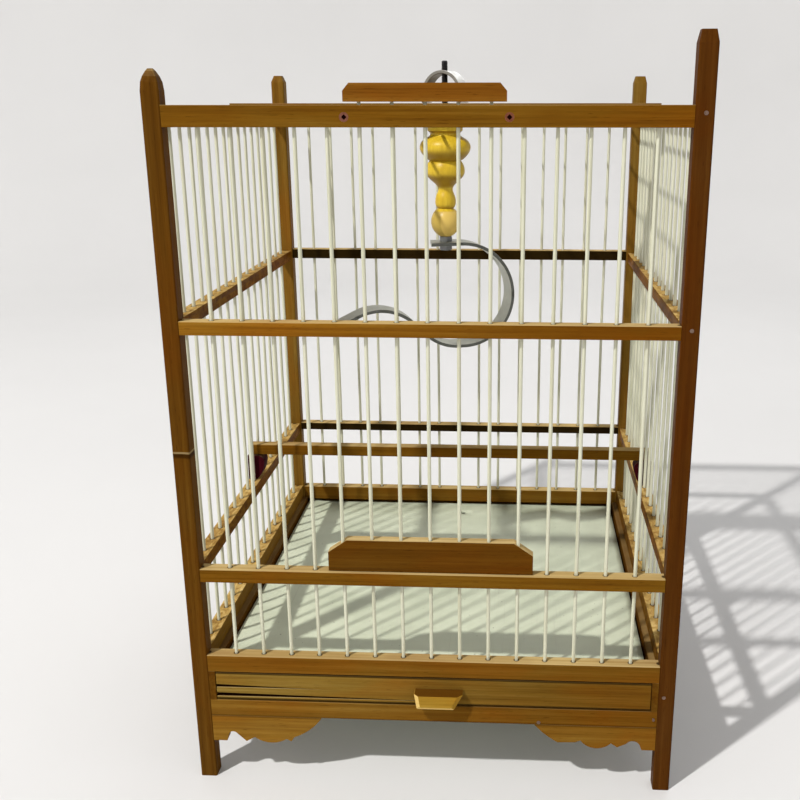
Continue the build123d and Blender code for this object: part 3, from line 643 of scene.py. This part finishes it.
def metal(name, tones, rough, stain_share=0.3, drawn=EVEN_LINES, edge_shade=None, under=None):
    """Plated steel: drawn lines, cloudy plating, dull stains.

    edge_shade is (direction, tone): painted shade on the faces that look along the direction, the narrow
    edges of a strip.
    under is the painted shade of the faces that look down.
    """
    paint = Paint(name, Metallic=1.0)
    lines = paint.noise(drawn, detail=3)
    cloud = paint.noise((160, 160, 160), detail=4, shift=5)
    stains = paint.noise((75, 75, 75), detail=5, shift=9, distortion=0.8)
    colour = paint.ramp(cloud, (0.3, tones[0]), (0.7, tones[1]))
    mask = paint.span(stains, 0.55, 0.72, 0.0, stain_share)
    colour = paint.mix(mask, colour, RUST)
    # Painted shade: the narrow edges of a strip are painted dark.
    if edge_shade:
        direction, tone = edge_shade
        edge = paint.span(paint.math("ABSOLUTE", paint.facing(direction)), 0.55, 0.9, 0.0, 0.92)
        colour = paint.mix(edge, colour, tone)
        mask = paint.math("ADD", mask, paint.math("MULTIPLY", edge, 0.2))
    # Painted shade: faces that look down are painted dark.
    if under:
        colour = paint.mix(paint.span(paint.facing((0, 0, -1)), 0.05, 0.35, 0.0, 0.9), colour, under)
    paint.set("Base Color", colour)
    cloudy = paint.span(cloud, 0.3, 0.7, rough, rough + 0.16)
    paint.set("Roughness", paint.math("ADD", cloudy, mask, clamp=True))
    paint.set("Normal", paint.bump(lines, 0.08 * MM, 0.35))
    return paint.mat


def level_direction(yaw):
    """Level direction across a strip that stands in an upright plane turned by yaw."""
    return (math.sin(math.radians(yaw)), -math.cos(math.radians(yaw)), 0)


STRAP_ZINC = ((0.3456, 0.3508, 0.2981), (0.4992, 0.5024, 0.4320))
WING_ZINC = ((0.66, 0.66, 0.64), (0.86, 0.86, 0.83))
NAIL_STEEL = ((0.14, 0.085, 0.06), (0.30, 0.215, 0.17))
NUT_STEEL = ((0.14, 0.145, 0.15), (0.26, 0.265, 0.27))
ROD_STEEL = ((0.035, 0.035, 0.037), (0.085, 0.085, 0.09))
STRAP_YAW = 18
WING_YAW = -30
# Painted shade for the narrow edges of the hook strap and the wing nut, and for the wing nut's underside.
strap_edge_shade = (level_direction(STRAP_YAW), (0.115, 0.12, 0.11))
wing_edge_shade = (level_direction(WING_YAW), (0.24, 0.225, 0.195))
WING_UNDERSIDE_SHADE = (0.085, 0.060, 0.032)
use(metal("strap_steel", STRAP_ZINC, 0.34, drawn=DRAWN_LINES, edge_shade=strap_edge_shade), "hook_strap")
wing_steel = metal("wing_steel", WING_ZINC, 0.30, drawn=DRAWN_LINES, edge_shade=wing_edge_shade, under=WING_UNDERSIDE_SHADE)
use(wing_steel, "wing_nut")
use(metal("nail_steel", NAIL_STEEL, 0.45, stain_share=0.6), "frame_nails")
nut_steel = metal("nut_steel", NUT_STEEL, 0.36)
rod_steel = metal("rod_steel", ROD_STEEL, 0.42)


WELD_GAP = 0.01 * MM
SHARP_ANGLE = math.radians(35)


def soften(width, *names):
    """Rounds the sharp edges of CAD pieces a little."""
    for name in names:
        weld = NODES[name].modifiers.new("weld", "WELD")
        weld.merge_threshold = WELD_GAP
        bevel = NODES[name].modifiers.new("soft_edges", "BEVEL")
        bevel.width = width
        bevel.segments = 2
        bevel.limit_method = "ANGLE"
        bevel.angle_limit = SHARP_ANGLE
        NODES[name].modifiers.new("even_shading", "WEIGHTED_NORMAL")


soften(0.3 * MM, "hook_strap", "wing_nut")
soften(0.5 * MM, "tray_knob", "door_sill", "door_head")
soften(0.35 * MM, "bracket_left", "bracket_right")


THREAD_PITCH = 0.7 * MM
THREAD_DEPTH = 0.42 * MM
THREAD_SIDES = 20
THREAD_STEPS = 6
THREAD_HIDDEN = 3 * MM
THREAD_HIDDEN_STEP = 6 * MM
ROD_TIP = 0.7 * MM


def threaded_rod():
    """The hanger's rod with its real coarse thread wherever it can be seen."""
    low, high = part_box("threaded_rod")
    centre = (low + high) / 2
    radius = (high.x - low.x) / 2
    finial_low, finial_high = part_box("finial")
    step = THREAD_PITCH / THREAD_STEPS
    heights = []
    level = low.z
    while level < high.z:
        heights.append(level)
        hidden = finial_low.z + THREAD_HIDDEN < level < finial_high.z - THREAD_HIDDEN
        level += THREAD_HIDDEN_STEP if hidden else step
    heights.append(high.z)
    points = []
    for level in heights:
        tip = min(level - low.z, high.z - level)
        for side in range(THREAD_SIDES):
            turn = side / THREAD_SIDES
            phase = (level / THREAD_PITCH - turn) % 1.0
            valley = THREAD_DEPTH * min(1.0, 1.25 * abs(2 * phase - 1))
            reach = min(radius - valley, radius - ROD_TIP + tip)
            angle = 2 * math.pi * turn
            points.append((centre.x + reach * math.cos(angle), centre.y + reach * math.sin(angle), level))
    faces = [tuple(reversed(range(THREAD_SIDES)))]
    for ring in range(len(heights) - 1):
        for side in range(THREAD_SIDES):
            a = ring * THREAD_SIDES + side
            b = ring * THREAD_SIDES + (side + 1) % THREAD_SIDES
            faces.append((a, b, b + THREAD_SIDES, a + THREAD_SIDES))
    last = (len(heights) - 1) * THREAD_SIDES
    faces.append(tuple(last + side for side in range(THREAD_SIDES)))
    make_piece("rod_thread", points, faces, rod_steel, "hanger", "rod_steel", "threaded_rod")


threaded_rod()

NUT_SIDES = 72
NUT_THICK = 3.2 * MM
NUT_FLAT = 3.5 * MM
NUT_BORE = 2.0 * MM
NUT_BORE_CHAMFER = 0.25 * MM
NUT_DROPS = (0.0, 0.12 * MM, 0.3 * MM, 0.55 * MM)
NUT_FACE = 0.97
NUT_CHAMFER_SLOPE = 1.73
NUT_TURN = math.radians(12)


def chamfered_nuts():
    """Two hexagon nuts with the turned chamfer that leaves curved edges on their flats."""
    low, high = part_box("hook_nuts")
    centre = (low + high) / 2
    points, faces = [], []
    for bottom in (low.z, high.z - NUT_THICK):
        base = len(points)
        levels = list(NUT_DROPS) + [NUT_THICK - drop for drop in reversed(NUT_DROPS)]
        rings = [(NUT_BORE, NUT_BORE_CHAMFER)]
        rings += [(None, level) for level in levels]
        rings.append((NUT_BORE, NUT_THICK - NUT_BORE_CHAMFER))
        for bore, level in rings:
            edge = min(level, NUT_THICK - level)
            for side in range(NUT_SIDES):
                turn = 2 * math.pi * side / NUT_SIDES
                off_flat = (turn + math.pi / 6) % (math.pi / 3) - math.pi / 6
                cone = NUT_FLAT * NUT_FACE + edge * NUT_CHAMFER_SLOPE
                reach = bore or min(NUT_FLAT / math.cos(off_flat), cone)
                x = centre.x + reach * math.cos(turn + NUT_TURN)
                y = centre.y + reach * math.sin(turn + NUT_TURN)
                points.append((x, y, bottom + level))
        count = len(rings)
        for ring in range(count):
            following = (ring + 1) % count
            for side in range(NUT_SIDES):
                after = (side + 1) % NUT_SIDES
                a, b = base + ring * NUT_SIDES + side, base + ring * NUT_SIDES + after
                c, d = base + following * NUT_SIDES + after, base + following * NUT_SIDES + side
                faces.append((a, b, c, d))
    make_piece("chamfered_nuts", points, faces, nut_steel, "hanger", "zinc_steel", "hook_nuts")


chamfered_nuts()


# ------------------------------------------------------------------ camera, floor and light
def plain(name, colour, roughness):
    paint = Paint(name, Roughness=roughness)
    cloud = paint.noise((3, 3, 3), detail=3)
    paint.set("Base Color", paint.ramp(cloud, (0.3, shaded(colour, 0.97)), (0.7, colour)))
    return paint.mat


def lathe(name, profile, segments):
    """An open surface of revolution about Z from (radius, height) points."""
    mesh = bpy.data.meshes.new(name)
    points, faces = [], []
    for radius, height in profile:
        for step in range(segments):
            turn = 2 * math.pi * step / segments
            points.append((radius * math.cos(turn), radius * math.sin(turn), height))
    for ring in range(len(profile) - 1):
        for step in range(segments):
            a = ring * segments + step
            b = ring * segments + (step + 1) % segments
            faces.append((a, b, b + segments, a + segments))
    mesh.from_pydata(points, [], faces)
    mesh.polygons.foreach_set("use_smooth", [True] * len(faces))
    piece = bpy.data.objects.new(name, mesh)
    bpy.context.collection.objects.link(piece)
    return piece


FLOOR_RADIUS = 1.5
SWEEP = 0.9
SWEEP_STEPS = 12
WALL_HEIGHT = 2.2
sweep_profile = [(0.001, 0.0), (0.5, 0.0), (FLOOR_RADIUS, 0.0)]
for step in range(1, SWEEP_STEPS + 1):
    turn = step / SWEEP_STEPS * math.pi / 2
    sweep_profile.append((FLOOR_RADIUS + SWEEP * math.sin(turn), SWEEP * (1 - math.cos(turn))))
sweep_profile.append((FLOOR_RADIUS + SWEEP, WALL_HEIGHT))
studio = lathe("studio_floor", sweep_profile, 96)
studio.data.materials.append(plain("studio_paint", (0.745, 0.742, 0.738), 0.9))

world = bpy.data.worlds.new("studio_world")
world.use_nodes = True
sky = world.node_tree.nodes["Background"].inputs
sky["Color"].default_value = (0.96, 0.97, 1.0, 1)
sky["Strength"].default_value = 0.26
bpy.context.scene.world = world


def softbox(name, place, target, size, power, colour=(1, 1, 1)):
    data = bpy.data.lights.new(name, "AREA")
    data.shape = "DISK"
    data.size = size
    data.energy = power
    data.color = colour
    lamp = bpy.data.objects.new(name, data)
    lamp.location = place
    lamp.rotation_euler = (Vector(target) - Vector(place)).to_track_quat("-Z", "Y").to_euler()
    bpy.context.collection.objects.link(lamp)


MIDDLE = (0, 0, 0.2)
softbox("key", (-1.65, -1.87, 3.1), MIDDLE, 0.13, 134, (1.0, 0.98, 0.955))
softbox("fill", (1.3, -0.7, 1.2), MIDDLE, 1.4, 1.0, (0.97, 0.98, 1.0))
softbox("rim", (0.4, 1.3, 1.4), MIDDLE, 1.0, 5)

CAMERA_PLACE = (0.04335, -0.5972, 0.36364)
CAMERA_DIP = math.radians(16.685)
CAMERA_TURN = math.radians(2.822)
camera_data = bpy.data.cameras.new("camera")
camera_data.lens = 44.33
camera_data.sensor_width = 36
camera_data.shift_x = -0.0854
camera_data.shift_y = 0.0057
camera_data.clip_start = 0.01
camera = bpy.data.objects.new("camera", camera_data)
camera.location = CAMERA_PLACE
camera.rotation_euler = (math.pi / 2 - CAMERA_DIP, 0, CAMERA_TURN)
bpy.context.collection.objects.link(camera)
bpy.context.scene.camera = camera
bpy.context.scene.view_settings.view_transform = "Standard"
